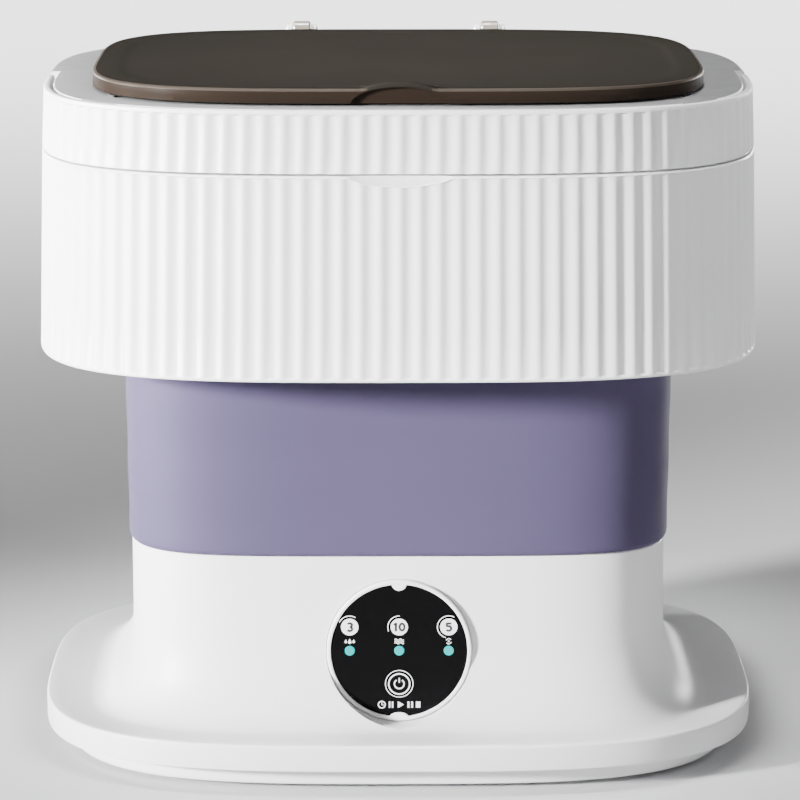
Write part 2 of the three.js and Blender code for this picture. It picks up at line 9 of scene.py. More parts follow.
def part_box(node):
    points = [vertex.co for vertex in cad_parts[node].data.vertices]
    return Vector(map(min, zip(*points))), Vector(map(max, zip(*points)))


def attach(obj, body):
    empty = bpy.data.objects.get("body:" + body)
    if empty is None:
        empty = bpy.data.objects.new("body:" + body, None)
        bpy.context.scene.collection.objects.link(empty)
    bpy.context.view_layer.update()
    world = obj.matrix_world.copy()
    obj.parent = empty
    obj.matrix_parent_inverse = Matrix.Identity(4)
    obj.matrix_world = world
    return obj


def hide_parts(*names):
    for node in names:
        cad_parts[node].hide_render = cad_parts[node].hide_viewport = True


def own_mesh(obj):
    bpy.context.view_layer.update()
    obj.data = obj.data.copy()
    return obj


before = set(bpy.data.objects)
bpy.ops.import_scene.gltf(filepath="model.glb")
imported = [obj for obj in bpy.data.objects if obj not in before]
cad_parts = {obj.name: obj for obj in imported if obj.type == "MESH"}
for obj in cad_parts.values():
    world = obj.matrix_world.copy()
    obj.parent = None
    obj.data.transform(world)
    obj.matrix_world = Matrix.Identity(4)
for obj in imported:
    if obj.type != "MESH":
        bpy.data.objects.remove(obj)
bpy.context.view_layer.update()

# ---- sizes ----
# Millimetres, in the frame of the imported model. Heights and half widths come from its nodes.

MM = 0.001


def low(node):
    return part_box(node)[0] / MM


def high(node):
    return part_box(node)[1] / MM


BAND_HALF = high("deck").x
DECK_HALF = BAND_HALF - 1
DECK_TOP = low("lid_bumper_left").z - 0.1
BAND_BOTTOM = low("deck").z
SKIRT_BOTTOM = low("skirt_shell").z
SKIRT_TOP = high("skirt_shell").z
SKIRT_HALF = high("skirt_shell").x
BODY_TOP = high("base_shell").z
FLANGE_HALF = high("base_shell").x
FLANGE_BOTTOM = low("base_plate").z + 9
FLANGE_RIM = FLANGE_BOTTOM + 11.2
FLANGE_TOP = FLANGE_RIM - 1
FLARE_HALF = FLANGE_HALF - 19.3
FLARE_TOP = 60
BODY_HALF = FLANGE_HALF - 39.7
LID_HALF = high("lid").x
LID_BOTTOM = low("lid").z
LID_TOP = LID_BOTTOM + 6.3
LID_SHIFT = -2
LID_NARROWING = 0.9945
TUB_BOTTOM = low("folding_tub").z
TUB_TOP = high("folding_tub").z
TUB_HALF = BODY_HALF + 1.3
TUB_HALF_TOP = high("folding_tub").x - 5
TUB_MOUTH = TUB_HALF_TOP - 5

PIVOT_Y = -8
PIVOT_Z = 280.5
ARM_END_R = 13.2
RECESS_R = 14.1
HANDLE_THICK = 2.9
WALL_INSET = HANDLE_THICK + 1.2
WALL = 2.5

HINGE_X = 44.4
HINGE_Y = 117.5
HINGE_Z = 300.4

PANEL_Z = (low("panel_bezel").z + high("panel_bezel").z) / 2
PANEL_FACE = -low("panel_glass").y
BEZEL_R = high("panel_bezel").x
GLASS_R = high("panel_glass").x
POCKET_R = BEZEL_R + 0.32
POCKET_BACK = 79
POCKET_FRONT = 114
LAMP_R = 2.15
LAMP_SPREAD = (low("indicator_lens_right").x + high("indicator_lens_right").x) / 2
BUTTON_R = 5.4
BUTTON_Z = (low("panel_button").z + high("panel_button").z) / 2

SOCKET_Z = (low("drain_plug").z + high("drain_plug").z) / 2
DRAIN_X = (low("drain_plug").x + high("drain_plug").x) / 2
INLET_X = (low("power_inlet").x + high("power_inlet").x) / 2

# Flutes: shallow waves whose ridges are a little narrower than their hollows.
FLUTE_PITCH = 8.1
FLUTE_DEPTH = 0.84
RIDGE_NARROWING = 0.07
FLUTE_STEPS = 10

# ---- rounded-square outlines ----
# |x/a|^n + |y/b|^n = 1. A section gives b and n for a half width a.


def deck_section(a):
    return a - 23.25, 3.42


def plate_section(a):
    return a - 23.8, 3.31


def tub_section(a):
    return a - 28.3, 5


def lid_section(a):
    return a - 19, 3.8


def base_section(a):
    """Blends from the body's outline to the flange's rounder one."""
    t = (a - BODY_HALF) / (FLANGE_HALF - BODY_HALF)
    body_depth, flange_depth, body_power, flange_power = 90.3, 134.5, 5, 3.31
    return body_depth + (flange_depth - body_depth) * t, body_power + (flange_power - body_power) * t


def ring(section, a, z, angles):
    """Points in millimetres of one outline, one per angle. a and z may differ from point to point."""
    b, n = section(a)
    spread = (np.abs(np.cos(angles)) / a) ** n + (np.abs(np.sin(angles)) / b) ** n
    radius = spread ** (-1 / n)
    z = np.broadcast_to(z, angles.shape)
    return np.column_stack([radius * np.cos(angles), radius * np.sin(angles), z])


def round_row(radius, z, angles):
    """Points in millimetres of a circle about the washer's upright axis, one per angle."""
    return np.column_stack([radius * np.cos(angles), radius * np.sin(angles), 0 * angles + z])


FRONT = -math.pi / 2


def even_angles(count):
    return FRONT + np.arange(count) * 2 * math.pi / count


class FlutedOutline:
    """Measures along the deck's outline from the front, so that the flutes are evenly spaced."""

    def __init__(self):
        fine = even_angles(7200)
        closed = np.append(fine, fine[0] + 2 * math.pi)
        points = ring(deck_section, DECK_HALF, 0.0, closed)
        steps = np.linalg.norm(np.diff(points, axis=0), axis=1)
        self.angle = closed
        self.along = np.append(0, np.cumsum(steps))
        self.count = round(self.along[-1] / FLUTE_PITCH)
        self.pitch = self.along[-1] / self.count

    def all_round(self):
        """Column angles, with a ridge on every FLUTE_STEPS-th one."""
        along = np.arange(self.count * FLUTE_STEPS) * self.pitch / FLUTE_STEPS
        return np.interp(along, self.along, self.angle)

    def depth(self, angles):
        """How deep the hollow is at each angle, in millimetres: nothing on a ridge."""
        whole = (angles - FRONT) % (2 * math.pi) + FRONT
        turn = 2 * math.pi * np.interp(whole, self.angle, self.along) / self.pitch
        wave = 1 - np.cos(turn) + RIDGE_NARROWING * (1 - np.cos(2 * turn))
        return FLUTE_DEPTH * wave / 2


flutes = FlutedOutline()

# ---- meshes ----


def link(name, mesh, sharp=35):
    piece = bpy.data.objects.new(name, mesh)
    bpy.context.scene.collection.objects.link(piece)
    smooth(piece, sharp)
    return piece


def smooth(piece, sharp=35):
    piece.data.shade_smooth()
    piece.data.set_sharp_from_angle(angle=math.radians(sharp))


def outward(mesh):
    work = bmesh.new()
    work.from_mesh(mesh)
    bmesh.ops.remove_doubles(work, verts=work.verts, dist=1e-7)
    bmesh.ops.recalc_face_normals(work, faces=work.faces)
    work.to_mesh(mesh)
    work.free()


def grid(name, rows, around=True, loop=True, sharp=35):
    """A closed skin through rows of points, in millimetres. around joins the ends of each row, and
    loop joins the last row to the first. Open ends are closed with a face."""
    rows = [np.asarray(row, float) for row in rows]
    count = len(rows[0])
    faces = []
    last = len(rows) if loop else len(rows) - 1
    for i in range(last):
        here, there = i * count, (i + 1) % len(rows) * count
        for j in range(count if around else count - 1):
            k = (j + 1) % count
            faces.append((here + j, here + k, there + k, there + j))
    if not loop:
        faces.append(tuple(reversed(range(count))))
        faces.append(tuple(range((len(rows) - 1) * count, len(rows) * count)))
    if not around:
        faces.append(tuple(i * count for i in range(len(rows))))
        faces.append(tuple(i * count + count - 1 for i in reversed(range(len(rows)))))
    mesh = bpy.data.meshes.new(name)
    mesh.from_pydata((np.vstack(rows) * MM).tolist(), [], faces)
    outward(mesh)
    return link(name, mesh, sharp)


def turned(name, profile, place=Matrix.Identity(4), sides=96, sharp=35):
    """A profile of [radius, height] pairs turned about Z, then put in place. It starts and ends on
    the axis, or closes on itself."""
    closed = profile[0][0] > 0
    work = bmesh.new()
    edge = [work.verts.new((r * MM, 0, z * MM)) for r, z in profile]
    for first, second in zip(edge, edge[1:]):
        work.edges.new((first, second))
    if closed:
        work.edges.new((edge[-1], edge[0]))
    bmesh.ops.spin(work, geom=work.verts[:] + work.edges[:], cent=(0, 0, 0), axis=(0, 0, 1),
                   angle=2 * math.pi, steps=sides, use_merge=True)
    bmesh.ops.remove_doubles(work, verts=work.verts, dist=1e-7)
    bmesh.ops.recalc_face_normals(work, faces=work.faces)
    mesh = bpy.data.meshes.new(name)
    work.to_mesh(mesh)
    work.free()
    mesh.transform(place)
    return link(name, mesh, sharp)


def arc(r, z, radius_r, radius_z, start, end, steps):
    """Points of an elliptical arc in a profile, from one angle to another in degrees."""
    turns = np.radians(np.linspace(start, end, steps + 1))
    return [[r + radius_r * math.cos(t), z + radius_z * math.sin(t)] for t in turns]


def facing_front(x, z):
    return Matrix.Translation(Vector((x, 0, z)) * MM) @ Matrix.Rotation(math.pi / 2, 4, "X")


def facing_rear(x, z):
    return Matrix.Translation(Vector((x, 0, z)) * MM) @ Matrix.Rotation(-math.pi / 2, 4, "X")


def facing_side(y, z):
    return Matrix.Translation(Vector((0, y, z)) * MM) @ Matrix.Rotation(math.pi / 2, 4, "Y")


def cuboid(name, x0, x1, y0, y1, z0, z1, rounding=0.0):
    work = bmesh.new()
    bmesh.ops.create_cube(work, size=1)
    for vert in work.verts:
        vert.co = Vector((x0 if vert.co.x < 0 else x1, y0 if vert.co.y < 0 else y1,
                          z0 if vert.co.z < 0 else z1)) * MM
    if rounding:
        bmesh.ops.bevel(work, geom=work.edges[:], offset=rounding * MM, segments=3, profile=0.5,
                        affect="EDGES")
    mesh = bpy.data.meshes.new(name)
    work.to_mesh(mesh)
    work.free()
    return link(name, mesh)


def combine(piece, other, operation, keep=False, sharp=35):
    """Joins or cuts piece with another closed mesh, and makes the result its mesh."""
    modifier = piece.modifiers.new("combine", "BOOLEAN")
    modifier.object = other
    modifier.operation = operation
    modifier.solver = "MANIFOLD"
    bpy.context.view_layer.update()
    result = bpy.data.meshes.new_from_object(
        piece.evaluated_get(bpy.context.evaluated_depsgraph_get()))
    piece.modifiers.clear()
    piece.data = result
    if not keep:
        bpy.data.objects.remove(other)
    smooth(piece, sharp)
    return piece


def join(name, pieces):
    """Several meshes as one piece."""
    work = bmesh.new()
    for piece in pieces:
        work.from_mesh(piece.data)
        bpy.data.objects.remove(piece)
    mesh = bpy.data.meshes.new(name)
    work.to_mesh(mesh)
    work.free()
    return link(name, mesh)


# ---- materials ----


class Nodes:
    """A material's node tree, with short ways to add the nodes used here."""

    def __init__(self, name):
        self.material = bpy.data.materials.new(name)
        self.material.use_nodes = True
        self.tree = self.material.node_tree
        self.shader = self.tree.nodes["Principled BSDF"]
        self.place = self.add("ShaderNodeTexCoord").outputs["Object"]

    def add(self, kind, **values):
        node = self.tree.nodes.new(kind)
        for key, value in values.items():
            if key in node.inputs:
                node.inputs[key].default_value = value
            else:
                setattr(node, key, value)
        return node

    def wire(self, out, socket):
        self.tree.links.new(out, socket)

    def noise(self, size, detail=3.0, stretch=None):
        """A noise whose features are about size millimetres across."""
        node = self.add("ShaderNodeTexNoise", Scale=1 / (size * MM), Detail=detail)
        if stretch:
            mapping = self.add("ShaderNodeMapping", Scale=stretch)
            self.wire(self.place, mapping.inputs["Vector"])
            self.wire(mapping.outputs["Vector"], node.inputs["Vector"])
        else:
            self.wire(self.place, node.inputs["Vector"])
        return node.outputs["Fac"]

    def between(self, fac, low_value, high_value):
        node = self.add("ShaderNodeMapRange")
        self.wire(fac, node.inputs["Value"])
        node.inputs["From Min"].default_value = 0.3
        node.inputs["From Max"].default_value = 0.7
        node.inputs["To Min"].default_value = low_value
        node.inputs["To Max"].default_value = high_value
        return node.outputs["Result"]

    def tint(self, fac, dark, light):
        node = self.add("ShaderNodeMix", data_type="RGBA")
        self.wire(fac, node.inputs["Factor"])
        node.inputs["A"].default_value = (*dark, 1)
        node.inputs["B"].default_value = (*light, 1)
        return node.outputs["Result"]

    def bump(self, height, distance, strength=1.0, under=None):
        node = self.add("ShaderNodeBump", Strength=strength, Distance=distance * MM)
        self.wire(height, node.inputs["Height"])
        if under:
            self.wire(under, node.inputs["Normal"])
        return node.outputs["Normal"]


def moulded(name, dark, light, rough, grain=0.35, grain_height=0.004, **extra):
    """Moulded plastic: a slow drift in tone, slightly uneven gloss and a fine surface grain."""
    nodes = Nodes(name)
    drift = nodes.noise(60, 2)
    nodes.wire(nodes.tint(drift, dark, light), nodes.shader.inputs["Base Color"])
    nodes.wire(nodes.between(nodes.noise(14, 4), rough[0], rough[1]), nodes.shader.inputs["Roughness"])
    waves = nodes.bump(nodes.noise(25, 1), 0.02, 0.4)
    nodes.wire(nodes.bump(nodes.noise(grain, 2), grain_height, 0.5, waves),
               nodes.shader.inputs["Normal"])
    for key, value in extra.items():
        nodes.shader.inputs[key.replace("_", " ")].default_value = value
    return nodes.material


def make_materials():
    made = {
        "white": moulded("white_plastic", (0.80, 0.80, 0.805), (0.84, 0.84, 0.845), (0.40, 0.47),
                         IOR=1.5, Coat_Weight=0.15, Coat_Roughness=0.4),
        # deck: a darker white for the deck's upward faces, painted shade standing in for the weaker light
        # that tops receive
        "deck": moulded("white_plastic_painted_top_shade", (0.225, 0.225, 0.228), (0.245, 0.245, 0.248),
                        (0.36, 0.44)),
        # bezel: whiter than the housing's white, a painted highlight standing in for the ring's glossy
        # shine
        "bezel": moulded("white_plastic_painted_highlight", (0.93, 0.93, 0.93), (0.95, 0.95, 0.95), (0.3, 0.36)),
        "white_inner": moulded("white_inner_plastic", (0.74, 0.74, 0.75), (0.79, 0.79, 0.80),
                               (0.42, 0.50)),
        "lilac": moulded("lilac_elastomer", (0.062, 0.0515, 0.098), (0.069, 0.0575, 0.110),
                         (0.50, 0.60), grain=0.5, grain_height=0.012, Specular_IOR_Level=0.12,
                         Sheen_Weight=0.22, Sheen_Roughness=0.3),
        "lid": moulded("smoked_plastic", (0.0155, 0.0138, 0.0118), (0.0187, 0.0167, 0.0143),
                       (0.30, 0.38), grain=0.9, grain_height=0.0003, Specular_IOR_Level=0.0),
        # lid sides: a darker copy of the smoked plastic, painted shade where the sides catch more light
        # than the top
        "lid_side_shade": moulded("smoked_plastic_painted_side_shade", (0.0150, 0.0105, 0.0078), (0.0185, 0.0132, 0.0096),
                            (0.34, 0.42), grain=0.9, grain_height=0.0004, Specular_IOR_Level=0.02),
        # lid edge: a lighter brown on the rounded top edge, a painted highlight along the arris
        "lid_arris_highlight": moulded("smoked_plastic_painted_arris_highlight", (0.038, 0.030, 0.024), (0.050, 0.040, 0.032),
                            (0.34, 0.42), grain=0.9, grain_height=0.0006, Specular_IOR_Level=0.06),
        # knuckle: a cream tone, painted light standing in for light shining through the thin smoked
        # plastic
        "knuckle": moulded("smoked_plastic_painted_backlight", (0.20, 0.172, 0.148), (0.25, 0.215, 0.185),
                           (0.15, 0.22)),
        "glass": moulded("black_glass", (0.0028, 0.0028, 0.003), (0.0036, 0.0036, 0.0038),
                         (0.06, 0.1), grain_height=0.0003, Specular_IOR_Level=0.04),
        "print": moulded("white_print", (0.86, 0.86, 0.86), (0.90, 0.90, 0.90), (0.35, 0.45)),
        "print_dark": moulded("dark_print", (0.012, 0.012, 0.014), (0.02, 0.02, 0.022), (0.35, 0.45)),
        "dark": moulded("dark_plastic", (0.018, 0.018, 0.020), (0.028, 0.028, 0.031), (0.42, 0.55),
                        grain_height=0.01),
        "rubber": moulded("rubber", (0.022, 0.022, 0.023), (0.034, 0.034, 0.035), (0.65, 0.8),
                          grain_height=0.015),
        "gear": moulded("natural_acetal", (0.66, 0.60, 0.46), (0.73, 0.67, 0.53), (0.3, 0.4)),
        "board": moulded("solder_mask", (0.012, 0.075, 0.030), (0.018, 0.105, 0.042), (0.25, 0.4)),
        "lamp": moulded("lit_cyan", (0.0, 0.10, 0.10), (0.0, 0.13, 0.13), (0.2, 0.3),
                        Specular_IOR_Level=0.1,
                        Emission_Color=(0.0, 1.0, 1.0, 1), Emission_Strength=0.8),
    }
    steel = Nodes("plain_steel")
    brushed = steel.noise(0.5, 3, stretch=(1, 1, 12))
    steel.wire(steel.tint(brushed, (0.52, 0.53, 0.55), (0.68, 0.69, 0.71)),
               steel.shader.inputs["Base Color"])
    steel.wire(steel.between(brushed, 0.2, 0.38), steel.shader.inputs["Roughness"])
    steel.wire(steel.bump(brushed, 0.006, 0.5), steel.shader.inputs["Normal"])
    steel.shader.inputs["Metallic"].default_value = 1
    made["steel"] = steel.material
    return made


materials = make_materials()


def finish_piece(piece, body, material, *nodes):
    """Gives a piece its material, its body and the CAD nodes that it stands for."""
    piece.data.materials.clear()
    piece.data.materials.append(materials[material])
    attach(piece, body)
    if nodes:
        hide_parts(*nodes)
    return piece


# ---- upper housing ----

RIM_PLAIN = 1.7  # plain strip above the flutes
NOTCH_HALF = 21.5
NOTCH_DEPTH = 4.5


def fluted_row(angles, a, z, weight):
    return ring(deck_section, a - weight * flutes.depth(angles), z, angles)


def band_half(z):
    """Half width of the upper band's outside, which leans out a little towards its foot."""
    return BAND_HALF - (z - BAND_BOTTOM) / (DECK_TOP - BAND_BOTTOM)


def make_skirt():
    angles = flutes.all_round()
    height = SKIRT_TOP - SKIRT_BOTTOM
    front = ring(deck_section, BAND_HALF, SKIRT_TOP, angles)
    near = (front[:, 1] < 0) & (np.abs(front[:, 0]) < NOTCH_HALF)
    hollow = np.where(near, np.sqrt(np.clip(1 - (front[:, 0] / NOTCH_HALF) ** 2, 0, 1)), 0)
    edge = 0.7 + (NOTCH_DEPTH - 0.7) * hollow ** 1.5
    recess = 0.5 + 3.0 * hollow

    def half(z):
        return SKIRT_HALF - (SKIRT_HALF - BAND_HALF) * (z - SKIRT_BOTTOM) / height

    inner = WALL
    rows = [ring(deck_section, half(SKIRT_BOTTOM) - inner, SKIRT_BOTTOM + 0.8, angles)]
    for inset, rise in ((inner - 0.6, 0.1), (inner - 1.2, 0), (0.9, 0), (0.3, 0.15), (0.05, 0.55)):
        rows.append(ring(deck_section, SKIRT_HALF - inset, SKIRT_BOTTOM + rise, angles))
    for rise, weight in ((1.1, 0), (1.6, 0.55), (2.1, 1)):
        rows.append(fluted_row(angles, half(SKIRT_BOTTOM + rise), SKIRT_BOTTOM + rise, weight))
    top_edge = SKIRT_TOP - edge
    for share in (0.25, 0.5, 0.75, 0.97):
        z = SKIRT_BOTTOM + 2.1 + (top_edge - SKIRT_BOTTOM - 2.9) * share
        rows.append(fluted_row(angles, half(z), z, 1))
    rows.append(fluted_row(angles, half(top_edge), top_edge - 0.45, 0.8))
    rows.append(ring(deck_section, half(top_edge), top_edge - 0.1, angles))
    for share, lean in ((0.04, 0.16), (0.3, 0.38), (0.6, 0.66), (1, 1)):
        z = top_edge + edge * share
        rows.append(ring(deck_section, half(z) - recess * lean, z, angles))
    rows.append(ring(deck_section, BAND_HALF - 10, SKIRT_TOP, angles))
    rows.append(ring(deck_section, BAND_HALF - 10, SKIRT_TOP - WALL, angles))
    rows.append(ring(deck_section, BAND_HALF - 6, SKIRT_TOP - WALL - 2.5, angles))
    rows.append(ring(deck_section, BAND_HALF - inner - 3, SKIRT_TOP - 9, angles))
    rows.append(ring(deck_section, half(SKIRT_TOP - 14) - inner, SKIRT_TOP - 14, angles))
    skirt = grid("fluted_skirt", rows)
    return finish_piece(skirt, "housing", "white", "skirt_shell")


def arm_space(name, radius, square_top):
    """The space of the handle's arms and their ends, seen from the side."""
    reach, foot, top = 300, 200, 400
    space = turned(name, [[0, -reach], [radius, -reach], [radius, reach], [0, reach]],
                   facing_side(PIVOT_Y, PIVOT_Z), 192)
    combine(space, cuboid("ahead", -reach, reach, -reach, PIVOT_Y, foot, top), "UNION")
    if square_top:
        above = cuboid("above", -reach, reach, -reach, PIVOT_Y + radius, PIVOT_Z, top)
        combine(space, above, "UNION")
    return space


def make_deck():
    angles = flutes.all_round()
    outer = []
    for rise, inset, weight in ((0.0, 0.5, 0.6), (0.5, 0, 1), (12, 0, 1), (24.0, 0, 1),
                                (24.8, 0, 0.5), (25.3, 0, 0), (26.1, 0.1, 0), (26.55, 0.4, 0),
                                (26.8, 0.9, 0), (26.9, 1.5, 0)):
        z = BAND_BOTTOM + rise
        outer.append(fluted_row(angles, band_half(z) - inset, z, weight))
    mouth = [ring(tub_section, TUB_MOUTH + d, DECK_TOP - h, angles)
             for d, h in ((1.2, 0), (0.4, 0.3), (0, 1), (0, 2.6), (0.4, 3))]
    inside = DECK_HALF - WALL_INSET - WALL
    under = [ring(deck_section, inside - 3, DECK_TOP - 3, angles),
             ring(deck_section, inside, DECK_TOP - 6, angles),
             ring(deck_section, inside, BAND_BOTTOM, angles)]
    deck = grid("top_deck", outer + mouth + under)
    wall = DECK_HALF - WALL_INSET
    cutter = grid("cutter", [ring(deck_section, a, z, angles) for a, z in (
        (wall, BAND_BOTTOM - 20), (wall, DECK_TOP - 0.9), (wall - 0.12, DECK_TOP - 0.5),
        (wall - 0.42, DECK_TOP - 0.15), (wall - 1.1, DECK_TOP + 0.02), (wall - 1.1, DECK_TOP + 9),
        (wall + 30, DECK_TOP + 9), (wall + 30, BAND_BOTTOM - 20))])
    combine(cutter, arm_space("recess", RECESS_R, True), "INTERSECT")
    combine(deck, cutter, "DIFFERENCE")
    finish_piece(deck, "housing", "white", "deck")
    deck.data.materials.append(materials["deck"])
    # Faces of the deck that face up take the darker material: painted shade on the top
    for face in deck.data.polygons:
        if face.normal.z > 0.7 and face.center.z / MM > DECK_TOP - 2:
            face.material_index = 1
    return deck


def make_hinge_ears():
    """Two ears on the deck for each hinge, with a knuckle of the lid between them."""
    ears = []
    offset, radius, half, chamfer, flare = 5.72, 2.3, 1.42, 0.35, 0.5
    foot = DECK_TOP - HINGE_Z - 0.6
    for side in (-1, 1):
        for ear in (-1, 1):
            middle = side * HINGE_X + ear * offset
            outline = [[-radius - flare, foot]] + [
                [radius * math.cos(t), radius * math.sin(t)]
                for t in np.radians(np.linspace(180, 0, 17))] + [[radius + flare, foot]]
            rows = []
            for x, inset in ((-half, chamfer), (-half + chamfer, 0), (half - chamfer, 0),
                             (half, chamfer)):
                scale = (radius - inset) / radius
                rows.append([(middle + x, HINGE_Y + y * scale, HINGE_Z + (z if z == foot else z * scale))
                             for y, z in outline])
            ears.append(grid(f"ear_{side}_{ear}", rows, loop=False))
    return finish_piece(join("hinge_ears", ears), "housing", "white")


def make_handle():
    """Each column is one rounded section of the bail. Its height shrinks round the arm's end."""
    angles = flutes.all_round()
    points = ring(deck_section, DECK_HALF, 0.0, angles)
    ahead = angles[points[:, 1] < PIVOT_Y - 0.5]
    ahead = np.where(ahead > math.pi / 2, ahead - 2 * math.pi, ahead)
    ahead = np.sort(ahead)
    turns = np.radians(np.linspace(0, 90, 13))
    end_y = PIVOT_Y + ARM_END_R * np.sin(turns)
    right = np.arcsin(end_y / DECK_HALF)
    columns = np.concatenate([-math.pi - right[::-1], ahead, right])
    shrink = np.concatenate([np.cos(turns[::-1]), np.ones(len(ahead)), np.cos(turns)])
    shrink = np.maximum(shrink, 0.02)
    bottom = PIVOT_Z - ARM_END_R + 0.25
    high_z = PIVOT_Z + (DECK_TOP - PIVOT_Z) * shrink
    low_z = PIVOT_Z - (PIVOT_Z - bottom) * shrink
    tall = DECK_TOP - bottom
    section = [(0.7, 0, 0), (0.2, 0.2, 0.4), (0, 0.7, 1), (0, 9, 1), (0, 18, 1), (0, tall - 2.4, 1),
               (0, tall - RIM_PLAIN, 0), (0, tall - 0.8, 0), (0.25, tall - 0.2, 0), (0.8, tall, 0),
               (HANDLE_THICK - 0.6, tall, 0), (HANDLE_THICK - 0.15, tall - 0.2, 0),
               (HANDLE_THICK, tall - 0.7, 0), (HANDLE_THICK, 0.7, 0), (HANDLE_THICK - 0.15, 0.2, 0),
               (HANDLE_THICK - 0.6, 0, 0)]
    rows = []
    for inset, up, weight in section:
        z = low_z + (high_z - low_z) * up / tall
        depth = weight * flutes.depth(columns)
        rows.append(ring(deck_section, band_half(z) - inset - depth, z, columns))
    handle = grid("bail_handle", rows, around=False)
    return finish_piece(handle, "handle", "white", "carry_handle")


# ---- lid ----


def make_lid():
    angles = even_angles(640)
    front = lid_section(LID_HALF)[0]
    thick = 2.2
    lip_radius, lip_height, lip_limit, lip_reach = 40, 3.3, 3, 17

    def lip_rise(points):
        """An arched finger lip: highest at the front edge, fading out behind it."""
        x, back = np.abs(points[:, 0]), points[:, 1] + front
        arch = np.sqrt(np.clip(lip_radius ** 2 - x ** 2, 0, None)) - lip_radius + lip_height
        near = np.clip(1 - back / lip_reach, 0, 1)
        return np.clip(arch, 0, lip_limit) * near ** 2 * (3 - 2 * near)

    rows = [round_row(2, LID_TOP - 0.3, angles)]
    rows[0][:, 2] += lip_rise(rows[0]) * 0.9
    for a, drop in ((40, 0.3), (80, 0.3), (104, 0.3), (116, 0.3), (119, 0.3), (120.5, 0.27),
                    (121.8, 0.17), (123, 0.06), (124.2, 0), (126, 0), (128, 0), (130, 0), (131.5, 0),
                    (132.6, 0.0), (133.3, 0.15), (133.8, 0.5), (134, 1.1), (134, 3.5), (134, 5.8),
                    (133.7, 6.2), (133.3, 6.3), (132.4, 6.3), (132.0, 6.2), (131.8, 5.8),
                    (131.8, 2.8), (131.2, thick)):
        points = ring(lid_section, a, LID_TOP - drop, angles)
        if drop < 3:
            points[:, 2] += lip_rise(points) * (1 - drop / 3)
        rows.append(points)
    rows += [ring(lid_section, a, LID_TOP - thick, angles) for a in (120, 60)]
    rows.append(round_row(2, LID_TOP - thick, angles))
    cover = grid("smoked_cover", rows, loop=False, sharp=40)
    backing = grid("backing", [
        [(x, y, z) for x, y in ((-26, 9 - front), (26, 9 - front), (26, 3 - front), (25, 0.4 - front),
                                (-25, 0.4 - front), (-26, 3 - front))]
        for z in (LID_BOTTOM, LID_TOP - 1)], loop=False)
    combine(cover, backing, "UNION", sharp=40)
    arch = turned("arch", [[0, -9], [1, -9], [1, 9], [0, 9]], Matrix.Identity(4), 160)
    arch.data.transform(Matrix.Diagonal((20.5, 7.1, 1 / 2, 1)))
    arch.data.transform(Matrix.Translation(Vector((0, -2.2 - front, LID_BOTTOM)) * MM)
                        @ Matrix.Rotation(math.pi / 2, 4, "X"))
    combine(cover, arch, "DIFFERENCE", sharp=40)
    cover.data.transform(Matrix.Translation(Vector((0, LID_SHIFT, 0)) * MM)
                         @ Matrix.Diagonal((LID_NARROWING, 1, 1, 1)))
    for side in (-1, 1):
        x = side * HINGE_X
        bridge = cuboid("bridge", x - 3.6, x + 3.6, HINGE_Y - 7, HINGE_Y - 1.8, HINGE_Z - 2.6,
                        LID_TOP - 0.4, 0.4)
        combine(cover, bridge, "UNION", sharp=40)
    finish_piece(cover, "lid", "lid", "lid")
    cover.data.materials.append(materials["lid_arris_highlight"])
    cover.data.materials.append(materials["lid_side_shade"])
    arris_foot = LID_TOP - 1.1
    # Faces of the rounded top edge get the lighter brown, a painted highlight; the upright sides get the
    # darker copy, painted shade
    for face in cover.data.polygons:
        height, upward = face.center.z / MM, face.normal.z
        if arris_foot < height < LID_TOP - 0.02 and 0.2 < upward < 0.995:
            face.material_index = 1
        elif height < arris_foot and abs(upward) < 0.5:
            face.material_index = 2
    return cover


def make_knuckles():
    bore, radius, half, chamfer = 1.25, 3.9, 4, 0.6
    made = []
    for side in (-1, 1):
        x = side * HINGE_X
        profile = [[bore, x - half], [radius - chamfer, x - half], [radius, x - half + chamfer],
                   [radius, x + half - chamfer], [radius - chamfer, x + half], [bore, x + half]]
        made.append(turned(f"barrel_{side}", profile, facing_side(HINGE_Y, HINGE_Z), 64))
    return finish_piece(join("hinge_knuckles", made), "lid", "knuckle")


def make_pins():
    for side, sign in (("left", -1), ("right", 1)):
        x, half, radius, chamfer = sign * HINGE_X, 7.45, 1.1, 0.3
        profile = [[0, x - half], [radius - chamfer, x - half], [radius, x - half + chamfer],
                   [radius, x + half - chamfer], [radius - chamfer, x + half], [0, x + half]]
        pin = turned(f"pin_{side}", profile, facing_side(HINGE_Y, HINGE_Z), 32)
        finish_piece(pin, "housing", "steel", f"hinge_pin_{side}")


# ---- soft tub and base ----


def make_soft_wall():
    """The soft tub's wall: a rounded bead at the foot, and faint waves where it will fold."""
    angles = even_angles(400)
    outer = [(TUB_HALF - 5.6, 0), (TUB_HALF - 1.6, 0), (TUB_HALF - 0.9, 0.15), (TUB_HALF - 0.5, 0.6),
             (TUB_HALF - 0.12, 1.4), (TUB_HALF, 2.2)]
    height = TUB_TOP - TUB_BOTTOM
    for rise in np.linspace(6, height - 3.2, 40):
        wave = 0.12 * math.cos(2 * math.pi * rise / 31)
        outer.append((TUB_HALF + (TUB_HALF_TOP - TUB_HALF) * rise / height + wave - 0.12, rise))
    top = [(TUB_HALF_TOP + 4.6, height - 2.6), (TUB_HALF_TOP + 5, height - 2.2),
           (TUB_HALF_TOP + 5, height - 0.4), (TUB_HALF_TOP + 4.6, height), (TUB_HALF_TOP - 2, height)]
    inner = [(TUB_HALF_TOP - 2.2, height - 1), (TUB_HALF - 1, height / 2), (TUB_HALF - 2.2, 2.6),
             (TUB_HALF - 5.6, 2.5)]
    rows = [ring(tub_section, a, TUB_BOTTOM + rise, angles) for a, rise in outer + top + inner]
    wall = grid("soft_tub_wall", rows)
    finish_piece(wall, "base", "lilac", "folding_tub")
    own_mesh(wall)
    return wall


